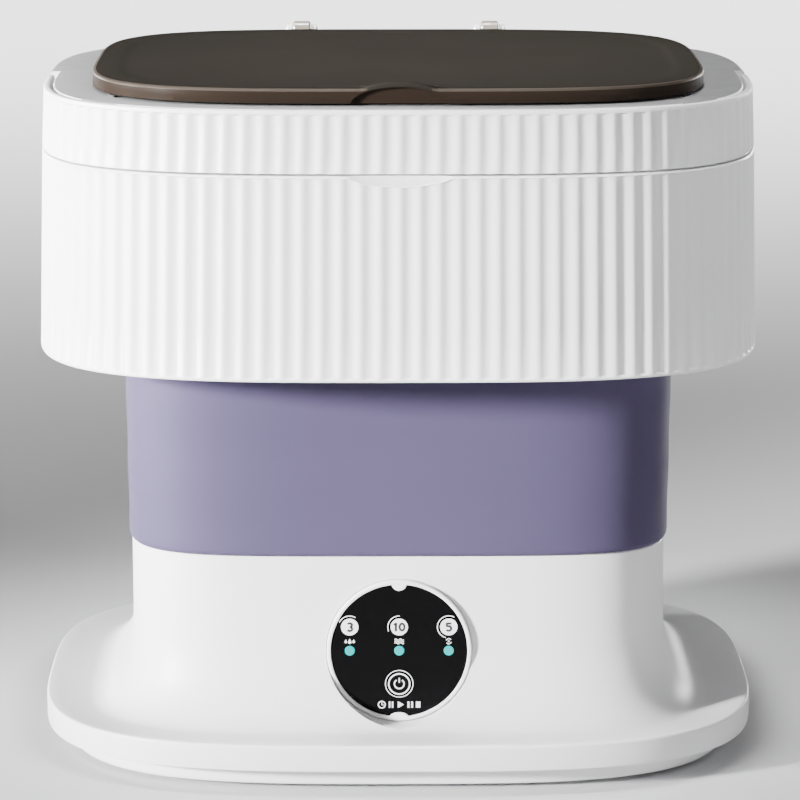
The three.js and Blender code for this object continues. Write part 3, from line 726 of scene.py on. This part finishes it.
def make_base():
    angles = even_angles(480)
    rise = FLARE_TOP - FLANGE_TOP
    spread = FLARE_HALF - BODY_HALF
    outer = [[FLANGE_HALF - 0.5, FLANGE_BOTTOM], [FLANGE_HALF - 0.1, FLANGE_BOTTOM + 0.15],
             [FLANGE_HALF, FLANGE_BOTTOM + 0.6], [FLANGE_HALF, FLANGE_BOTTOM + 5]]
    outer += arc(FLANGE_HALF - 1.3, FLANGE_RIM - 1.3, 1.3, 1.3, 0, 90, 6)
    outer += [[FLANGE_HALF - 6, FLANGE_RIM - 0.35], [FLANGE_HALF - 12, FLANGE_RIM - 0.8]]
    outer += arc(FLARE_HALF, FLARE_TOP, spread, rise, 270, 180, 24)
    filled_rows = outer + [[BODY_HALF, 80], [BODY_HALF, BODY_TOP - 0.5]]
    outer = filled_rows + [[BODY_HALF - 0.4, BODY_TOP]]
    rim = BODY_HALF - 9.6
    inner = [[rim, BODY_TOP], [rim, BODY_TOP - WALL], [BODY_HALF - WALL, BODY_TOP - WALL - 0.3]]
    inner += arc(FLARE_HALF - WALL, FLARE_TOP, spread, rise + WALL, 180, 270, 12)
    inner += [[FLANGE_HALF - WALL, FLANGE_TOP - WALL], [FLANGE_HALF - WALL, FLANGE_BOTTOM + 2],
              [FLANGE_HALF - 12.3, FLANGE_BOTTOM + 2], [FLANGE_HALF - 12.3, FLANGE_BOTTOM]]

    def swept(name, profile, **settings):
        rows = [ring(base_section, a, z, angles) for a, z in profile]
        return grid(name, rows, **settings)

    shell = swept("drive_housing", outer + inner)
    filled = swept("filled", filled_rows, loop=False)
    sleeve_r, sleeve_back, sleeve_front = POCKET_R + 2.2, POCKET_BACK - 2, POCKET_FRONT + 4
    sleeve = turned("sleeve", [[0, sleeve_back], [sleeve_r, sleeve_back], [sleeve_r, sleeve_front],
                               [0, sleeve_front]], facing_front(0, PANEL_Z), 192)
    combine(sleeve, filled, "INTERSECT")
    combine(shell, sleeve, "UNION")
    pocket = turned("pocket", [[0, POCKET_BACK], [POCKET_R, POCKET_BACK], [POCKET_R, PANEL_FACE + 2],
                               [POCKET_R - 2.1, POCKET_FRONT], [0, POCKET_FRONT]],
                    facing_front(0, PANEL_Z), 256)
    combine(shell, pocket, "DIFFERENCE")
    for x, radius in ((DRAIN_X, 8.3), (INLET_X, 7.3)):
        hole = turned("hole", [[0, 60], [radius, 60], [radius, 120], [0, 120]],
                      facing_rear(x, SOCKET_Z), 64)
        combine(shell, hole, "DIFFERENCE")
    return finish_piece(shell, "base", "white", "base_shell")


def make_plate():
    angles = even_angles(320)
    half = FLANGE_HALF - 10.6
    foot = low("base_plate").z
    top = FLANGE_BOTTOM - 0.3
    profile = [(30, foot), (half - 1.6, foot), (half - 0.6, foot + 0.3), (half - 0.1, foot + 1),
               (half, foot + 1.8), (half, top), (half - 2, top), (half - 2, foot + 2.5),
               (30, foot + 2.5)]
    rows = [ring(plate_section, a, z, angles) for a, z in profile]
    plate = grid("floor_plate", rows, loop=False)
    return finish_piece(plate, "base", "white", "base_plate")


def make_feet():
    for end in ("front", "rear"):
        for side in ("left", "right"):
            node = f"foot_{end}_{side}"
            lowest, highest = low(node), high(node)
            x, y = (lowest.x + highest.x) / 2, (lowest.y + highest.y) / 2
            top = highest.z
            profile = [[0, 0.5], [4, 0.5], [4.3, 0], [7.6, 0], [8.6, 0.35], [9, 0.9], [9, top], [0, top]]
            foot = turned(f"pad_{end}_{side}", profile, Matrix.Translation(Vector((x, y, 0)) * MM), 48)
            finish_piece(foot, "base", "rubber", node)


# ---- control panel ----


def panel_tabs(grow):
    tabs = []
    for name, radius, squash, z in (("top", 3.3, 1.0, GLASS_R + 0.6), ("foot", 4.3, 0.6, -GLASS_R - 0.6)):
        tab = turned(name, [[0, PANEL_FACE - 2.2], [radius + grow, PANEL_FACE - 2.2],
                            [radius + grow, PANEL_FACE + 0.1 - grow / 6],
                            [radius + grow - 0.3, PANEL_FACE + 0.35], [0, PANEL_FACE + 0.35]],
                     Matrix.Rotation(math.pi / 2, 4, "X"), 64)
        tab.data.transform(Matrix.Translation(Vector((0, 0, PANEL_Z + z)) * MM)
                           @ Matrix.Diagonal((1, 1, squash, 1)))
        tabs.append(tab)
    return tabs


def make_bezel():
    inner = GLASS_R + 0.1
    profile = [[BEZEL_R, POCKET_BACK + 0.3]]
    profile += arc(BEZEL_R - 0.7, PANEL_FACE - 0.2, 0.7, 0.7, 0, 90, 6)
    profile += arc(inner + 0.35, PANEL_FACE + 0.15, 0.35, 0.35, 90, 180, 4)
    profile += [[inner, PANEL_FACE - 2.3], [inner - 2.4, PANEL_FACE - 2.3],
                [inner - 2.4, PANEL_FACE - 9], [inner, PANEL_FACE - 9], [inner, POCKET_BACK + 0.3]]
    bezel = turned("bezel_ring", profile, facing_front(0, PANEL_Z), 192)
    reach = turned("reach", [[0, 60], [BEZEL_R - 1, 60], [BEZEL_R - 1, 110], [0, 110]],
                   facing_front(0, PANEL_Z), 192)
    for tab in panel_tabs(0):
        combine(tab, reach, "INTERSECT", keep=True)
        combine(bezel, tab, "UNION")
    bpy.data.objects.remove(reach)
    return finish_piece(bezel, "base", "bezel", "panel_bezel")


def make_glass():
    glass = turned("display_glass", [[0, PANEL_FACE - 2], [GLASS_R, PANEL_FACE - 2],
                                     [GLASS_R, PANEL_FACE - 0.2], [GLASS_R - 0.2, PANEL_FACE],
                                     [0, PANEL_FACE]], facing_front(0, PANEL_Z), 192)
    for tab in panel_tabs(0.15):
        combine(glass, tab, "DIFFERENCE")
    holes = [(x, PANEL_Z, LAMP_R + 0.12) for x in (-LAMP_SPREAD, 0, LAMP_SPREAD)]
    for x, z, radius in holes + [(0, BUTTON_Z, BUTTON_R + 0.2)]:
        hole = turned("hole", [[0, 80], [radius, 80], [radius, 100], [0, 100]], facing_front(x, z), 64)
        combine(glass, hole, "DIFFERENCE")
    return finish_piece(glass, "base", "glass", "panel_glass")


def make_lamps():
    for side, x in (("left", -LAMP_SPREAD), ("middle", 0), ("right", LAMP_SPREAD)):
        front = PANEL_FACE + 0.05
        profile = [[0, PANEL_FACE - 7], [LAMP_R, PANEL_FACE - 7], [LAMP_R, front - 0.25]]
        profile += [[LAMP_R - 0.3, front], [0, front + 0.03]]
        lens = turned(f"lamp_{side}", profile, facing_front(x, PANEL_Z), 48)
        finish_piece(lens, "base", "lamp", f"indicator_lens_{side}")


def make_button():
    face = PANEL_FACE + 0.35
    button = turned("start_button", [
        [0, PANEL_FACE - 5.5], [1.8, PANEL_FACE - 5.5], [1.8, PANEL_FACE - 3.3], [6.8, PANEL_FACE - 3.3],
        [6.8, PANEL_FACE - 2.5], [BUTTON_R, PANEL_FACE - 2.5], [BUTTON_R, face - 0.3],
        [BUTTON_R - 0.3, face], [4.4, face], [4.2, face - 0.1], [0, face - 0.1],
    ], facing_front(0, BUTTON_Z), 96)
    return finish_piece(button, "button", "glass", "panel_button")


# Printed marks are thin raised prints. A mark is drawn in x and z about its own centre.
PRINT_HEIGHT = 0.05


def printed(name, outlines, x, z, face, body, material="print"):
    """Flat outlines, each a list of points, as one thin print on the panel."""
    work = bmesh.new()
    for outline in outlines:
        front = [work.verts.new(((x + u) * MM, -(face + PRINT_HEIGHT) * MM, (z + v) * MM))
                 for u, v in outline]
        back = [work.verts.new(((x + u) * MM, -(face - 0.02) * MM, (z + v) * MM)) for u, v in outline]
        work.faces.new(front)
        work.faces.new(list(reversed(back)))
        for i in range(len(outline)):
            j = (i + 1) % len(outline)
            work.faces.new((front[j], front[i], back[i], back[j]))
    bmesh.ops.recalc_face_normals(work, faces=work.faces)
    mesh = bpy.data.meshes.new(name)
    work.to_mesh(mesh)
    work.free()
    return finish_piece(link(name, mesh), body, material)


def circle(radius, count=48):
    turns = np.linspace(0, 2 * math.pi, count, endpoint=False)
    return [(radius * math.cos(t), radius * math.sin(t)) for t in turns]


def stroke(points, width):
    """A line of that width through points, as one outline with square ends."""
    points = np.asarray(points, float)
    along = np.gradient(points, axis=0)
    along /= np.linalg.norm(along, axis=1)[:, None]
    side = np.column_stack([-along[:, 1], along[:, 0]]) * width / 2
    return [tuple(p) for p in points + side] + [tuple(p) for p in (points - side)[::-1]]


def arc_stroke(radius, start, end, width, cx=0.0, cz=0.0, tall=None):
    """Part of a circle, or of an ellipse with tall as its half height. Angles are in degrees."""
    turns = np.radians(np.linspace(start, end, 40))
    rise = tall or radius
    return stroke(np.column_stack([cx + radius * np.cos(turns), cz + rise * np.sin(turns)]), width)


def digits(text):
    """Outlines for the programme times, about 4 mm high."""
    def bowl(rx, rz, start, end, cx, cz):
        return arc_stroke(rx, start, end, 0.98, cx, cz, rz)

    if text == "3":
        return [bowl(0.98, 0.84, 150, -90, 0, 0.86), bowl(1.05, 0.9, 90, -150, 0, -0.84)]
    if text == "5":
        return [stroke([(-1.1, 1.55), (1.15, 1.55)], 0.9), stroke([(-0.8, 1.9), (-0.92, 0.0)], 0.9),
                bowl(1.08, 1.02, 130, -145, -0.05, -0.66)]
    return [stroke([(-1.45, -1.9), (-1.45, 1.9)], 1.0), stroke([(-2.35, 1.0), (-1.5, 1.6)], 0.8),
            bowl(1.05, 1.5, 0, 180, 1.2, 0), bowl(1.05, 1.5, 180, 360, 1.2, 0)]


def droplet():
    """A drop outline: a round foot rising to a point."""
    turns = np.radians(np.linspace(-220, 40, 30))
    return [(0.75 * math.cos(t), -0.35 + 0.75 * math.sin(t)) for t in turns] + [(0, 1.25)]


def wave(z):
    u = np.linspace(-2.0, 2.0, 33)
    return stroke(np.column_stack([u, z + 0.28 * np.sin(u * math.pi)]), 0.34)


def make_prints():
    disc_z = PANEL_Z + 10.7
    mark_z = PANEL_Z + 4.3
    programmes = (
        ("3", -LAMP_SPREAD, (60, 155), [droplet(), [(u * 0.7 - 1.7, v * 0.7) for u, v in droplet()],
                                        [(u * 0.7 + 1.7, v * 0.7) for u, v in droplet()]]),
        ("10", 0, (88, 202), [wave(0.75), wave(-0.05), wave(-0.85)]),
        ("5", LAMP_SPREAD, (62, 255), [arc_stroke(1.15, 40, 160, 0.36), arc_stroke(1.15, 220, 340, 0.36),
                                       circle(0.38, 24)]),
    )
    for text, x, sweep, mark in programmes:
        printed(f"disc_{text}", [circle(3.75)], x, disc_z, PANEL_FACE, "base")
        printed(f"dial_{text}", [arc_stroke(4.95, *sweep, 0.34)], x, disc_z, PANEL_FACE, "base")
        printed(f"mark_{text}", mark, x, mark_z, PANEL_FACE, "base")
        printed(f"number_{text}", digits(text), x, disc_z, PANEL_FACE + PRINT_HEIGHT, "base",
                "print_dark")
    printed("button_outline", [arc_stroke(6.0, 0, 180, 0.3), arc_stroke(6.0, 180, 360, 0.3)],
            0, BUTTON_Z, PANEL_FACE, "base")
    face = PANEL_FACE + 0.35
    printed("button_ring", [arc_stroke(4.55, 0, 180, 0.6), arc_stroke(4.55, 180, 360, 0.6)],
            0, BUTTON_Z, face, "button")
    printed("button_mark", [arc_stroke(2.1, -235, 55, 0.55), stroke([(0, 0.6), (0, 2.7)], 0.55)],
            0, BUTTON_Z, face - 0.1, "button")
    hint_z = PANEL_Z - 24.2
    clock = [arc_stroke(1.5, 0, 180, 0.45, cx=-7.6), arc_stroke(1.5, 180, 360, 0.45, cx=-7.6),
             stroke([(-7.6, 1.0), (-7.6, -0.1), (-6.8, -0.1)], 0.36)]
    hand = [stroke([(-4.2, -1.4), (-4.2, 1.4)], 0.6), stroke([(-2.9, -1.4), (-2.9, 1.4)], 0.6)]
    play = [[(-0.6, -1.5), (2.0, 0), (-0.6, 1.5)]]
    pause = [stroke([(4.0, -1.4), (4.0, 1.4)], 0.8), stroke([(5.6, -1.4), (5.6, 1.4)], 0.8)]
    stop = [[(7.3, -1.35), (9.2, -1.35), (9.2, 1.35), (7.3, 1.35)]]
    printed("hint_mark", clock + hand + play + pause + stop, 0, hint_z, PANEL_FACE, "base")


# ---- inside and rear ----


def make_basin():
    angles = even_angles(256)
    floor_z = 44
    floor_top = floor_z + 3
    hub = 6.6
    wall = [(97.3, floor_z), (100.3, floor_top), (102.3, 89),
            (BODY_HALF - 10.8, BODY_TOP - 0.5), (BODY_HALF - 10.8, BODY_TOP + 0.3),
            (BODY_HALF - 4.8, BODY_TOP + 0.3), (BODY_HALF - 4.8, BODY_TOP + 2.4),
            (BODY_HALF - 5.2, BODY_TOP + 2.8), (BODY_HALF - 12.7, BODY_TOP + 2.8),
            (BODY_HALF - 13.6, BODY_TOP + 2), (99.8, 90), (98.1, floor_top + 4),
            (96.8, floor_top + 1.2), (94.3, floor_top)]
    basin = grid("basin", [round_row(hub, floor_z, angles)]
                 + [ring(tub_section, a, z, angles) for a, z in wall]
                 + [round_row(hub, floor_top, angles)])
    housing = turned("housing", [[8.1, 24], [11.6, 24], [12, 24.4], [12, 45], [7.4, 45], [8.1, 43]])
    combine(basin, housing, "UNION")
    hole = turned("hole", [[0, 60], [8.3, 60], [8.3, 90], [0, 90]], facing_rear(DRAIN_X, SOCKET_Z), 48)
    combine(basin, hole, "DIFFERENCE")
    return finish_piece(basin, "base", "white_inner", "lower_tub")


def make_pulsator():
    under = low("pulsator").z
    radius = high("pulsator").x
    profile = [[0, under], [radius - 2, under], [radius - 0.5, under + 0.5], [radius, under + 2],
               [radius, under + 3.6]]
    profile += arc(radius - 1.2, under + 3.6, 1.2, 1.2, 0, 110, 6)
    profile += [[radius - 7, under + 3.6], [radius - 20, under + 3.1], [28, under + 3.6],
                [20, under + 4.8], [16, under + 7.5], [13, under + 10.2], [10, under + 11.4],
                [6.5, under + 11.9], [5.4, under + 11.7], [5.4, under + 10], [0, under + 10]]
    disk = turned("wash_disc", profile, Matrix.Identity(4), 160)
    for i in range(4):
        work = bmesh.new()
        bmesh.ops.create_uvsphere(work, u_segments=48, v_segments=24, radius=1)
        mesh = bpy.data.meshes.new("vane")
        work.to_mesh(mesh)
        work.free()
        mesh.transform(Matrix.Rotation(math.pi * (0.25 + i / 2), 4, "Z")
                       @ Matrix.Translation(Vector((33, 0, under + 3)) * MM)
                       @ Matrix.Diagonal((0.023, 0.0055, 0.008, 1)))
        vane = link("vane", mesh)
        combine(vane, cuboid("above", -90, 90, -90, 90, under + 1, under + 30), "INTERSECT")
        combine(disk, vane, "UNION")
    return finish_piece(disk, "pulsator", "white_inner", "pulsator")


def make_drain():
    pipe = turned("drain_pipe", [
        [6, 70], [8, 70], [8, 97.2], [11, 97.2], [11.5, 97.7], [11.5, 99], [11, 99.4], [8.4, 99.4],
        [8, 99.9], [8, 105.6], [7.6, 106], [6.3, 106], [6, 105.7]], facing_rear(DRAIN_X, SOCKET_Z), 64)
    finish_piece(pipe, "base", "white", "drain_outlet")
    ribs = []
    for y in (97.6, 100.2, 102.8):
        ribs += [[5.4, y], [5.75, y + 0.7], [5.4, y + 1.4]]
    plug = turned("drain_stopper", [[0, 96], [4.6, 96], [5.2, 96.5]] + ribs
                  + [[5.4, 106.3], [8.3, 106.3], [8.8, 106.8], [8.8, 109], [8.1, 109.8], [3, 109.8],
                     [2.2, 109.2], [0, 109.2]], facing_rear(DRAIN_X, SOCKET_Z), 64)
    finish_piece(plug, "drain_plug", "rubber", "drain_plug")
    inlet = turned("power_socket", [
        [0, 84], [7, 84], [7, 95.6], [9.2, 95.6], [9.5, 95.9], [9.5, 97], [9, 97.4], [3.5, 97.4],
        [3.2, 97.1], [3.2, 88], [1, 88], [1, 96], [0.6, 96.4], [0, 96.4]],
        facing_rear(INLET_X, SOCKET_Z), 64)
    finish_piece(inlet, "base", "dark", "power_inlet")


def dress_frame_nodes():
    """The CAD pieces that stay: each gets its material, and a small bevel on its sharp edges."""
    look = {
        "steel": [f"base_screw_{i}" for i in range(1, 7)] + [
            "bearing_lower", "bearing_upper", "pulsator_shaft", "pulsator_screw", "motor_shaft",
            "motor_bracket", "handle_pivot_left", "handle_pivot_right"],
        "dark": ["motor", "button_switch"],
        "rubber": ["shaft_seal", "lid_bumper_left", "lid_bumper_right"],
        "gear": ["drive_gear", "motor_pinion"],
        "board": ["control_board"],
        "white_inner": ["tub_clamp_ring", "upper_tub_ring"],
    }
    for material, names in look.items():
        for name in names:
            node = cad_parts[name]
            node.data.materials.clear()
            node.data.materials.append(materials[material])
            bevel = node.modifiers.new("soft_edges", "BEVEL")
            bevel.width = 0.15 * MM
            bevel.segments = 2
            bevel.angle_limit = math.radians(40)


# ---- studio ----


def aim(holder, target):
    holder.rotation_euler = (Vector(target) - holder.location).to_track_quat("-Z", "Y").to_euler()


def make_camera():
    """The camera looks down 11.6 degrees on the middle of the washer, from a little to the left."""
    camera = bpy.data.objects.new("camera", bpy.data.cameras.new("camera"))
    bpy.context.scene.collection.objects.link(camera)
    pitch = math.radians(11.6)
    distance = 1.7887
    target = Vector((0, 0, 0.1452))
    side = math.radians(-0.44)
    camera.location = target + distance * Vector(
        (math.sin(side) * math.cos(pitch), -math.cos(side) * math.cos(pitch), math.sin(pitch)))
    aim(camera, target)
    camera.data.lens = 177.9
    camera.data.shift_x = 0.003
    camera.data.clip_start = 0.05
    bpy.context.scene.camera = camera


def place_light(name, light, azimuth, elevation, distance, height=0.15):
    """Aims a light at the washer. Azimuth 0 is the front and 90 the right."""
    holder = bpy.data.objects.new(name, light)
    bpy.context.scene.collection.objects.link(holder)
    turn, lift = math.radians(azimuth), math.radians(elevation)
    target = Vector((0, 0, height))
    holder.location = target + distance * Vector(
        (math.sin(turn) * math.cos(lift), -math.cos(turn) * math.cos(lift), math.sin(lift)))
    aim(holder, target)


# A light's tone is how bright a white wall facing it becomes, where the light is aimed.
WHITE = 0.8


def spot(name, azimuth, elevation, distance, radius, tone, beam=15, height=0.15):
    """A narrow beam that lights the washer and little of the floor in front of it."""
    light = bpy.data.lights.new(name, "SPOT")
    light.shadow_soft_size = radius
    light.spot_size = math.radians(beam)
    light.spot_blend = 0.35
    light.energy = tone * 4 * (math.pi * distance) ** 2 / WHITE
    place_light(name, light, azimuth, elevation, distance, height)


def softbox(name, azimuth, elevation, distance, size, tone):
    """A square lamp whose light spreads 30 degrees to each side."""
    light = bpy.data.lights.new(name, "AREA")
    light.shape = "SQUARE"
    light.size = size
    half_spread = math.radians(30)
    light.spread = 2 * half_spread
    narrowing = 1 - half_spread / math.tan(half_spread)
    light.energy = tone * (math.pi * distance) ** 2 / WHITE * narrowing
    place_light(name, light, azimuth, elevation, distance)


def ceiling(name, x, y, width, depth, tone):
    """A wide light over the floor around the washer, facing down."""
    light = bpy.data.lights.new(name, "AREA")
    light.shape = "RECTANGLE"
    light.size, light.size_y = width, depth
    light.spread = math.radians(60)
    light.energy = tone * width * depth * math.pi / WHITE
    holder = bpy.data.objects.new(name, light)
    bpy.context.scene.collection.objects.link(holder)
    holder.location = (x, y, 3)


def make_floor():
    work = bmesh.new()
    bmesh.ops.create_grid(work, x_segments=2, y_segments=2, size=30)
    mesh = bpy.data.meshes.new("floor")
    work.to_mesh(mesh)
    work.free()
    floor = link("floor", mesh)
    nodes = Nodes("pale_floor")
    nodes.wire(nodes.tint(nodes.noise(400, 2), (0.58, 0.58, 0.588), (0.60, 0.60, 0.608)),
               nodes.shader.inputs["Base Color"])
    nodes.shader.inputs["Roughness"].default_value = 0.6
    floor.data.materials.append(nodes.material)


def make_world():
    world = bpy.data.worlds.new("studio")
    world.use_nodes = True
    background = world.node_tree.nodes["Background"]
    background.inputs["Color"].default_value = (1, 1, 1, 1)
    background.inputs["Strength"].default_value = 0.09
    bpy.context.scene.world = world


make_camera()
make_skirt()
make_deck()
make_hinge_ears()
make_handle()
make_lid()
make_knuckles()
make_pins()
make_soft_wall()
make_base()
make_plate()
make_feet()
make_bezel()
make_glass()
make_lamps()
make_button()
make_prints()
make_basin()
make_pulsator()
make_drain()
dress_frame_nodes()
make_floor()
make_world()
spot("key", -59, 12.5, 2.4, 0.17, 5.2)
spot("side", -95, 12, 2.4, 0.2, 9.5, beam=6.6, height=0.27)
spot("fill", 44, 10, 2.4, 0.4, 1.5, beam=8, height=0.25)
spot("rim_left", -152, 6, 2.4, 0.3, 1.5, beam=6.5, height=0.26)
spot("rim_right", 152, 6, 2.4, 0.3, 2.5, beam=5.5, height=0.28)
softbox("top", 0, 84, 2.6, 1.2, 0.4)
spot("crown", 0, 86, 2.0, 0.12, 1.5, beam=12, height=0.29)
ceiling("floor_rear", 0, 4.6, 15, 6, 4.5)
ceiling("floor_front", 0, -4.6, 15, 6, 4.5)
ceiling("floor_left", -4.6, 0, 6, 3.2, 4.5)
ceiling("floor_right", 4.6, 0, 6, 3.2, 4.5)
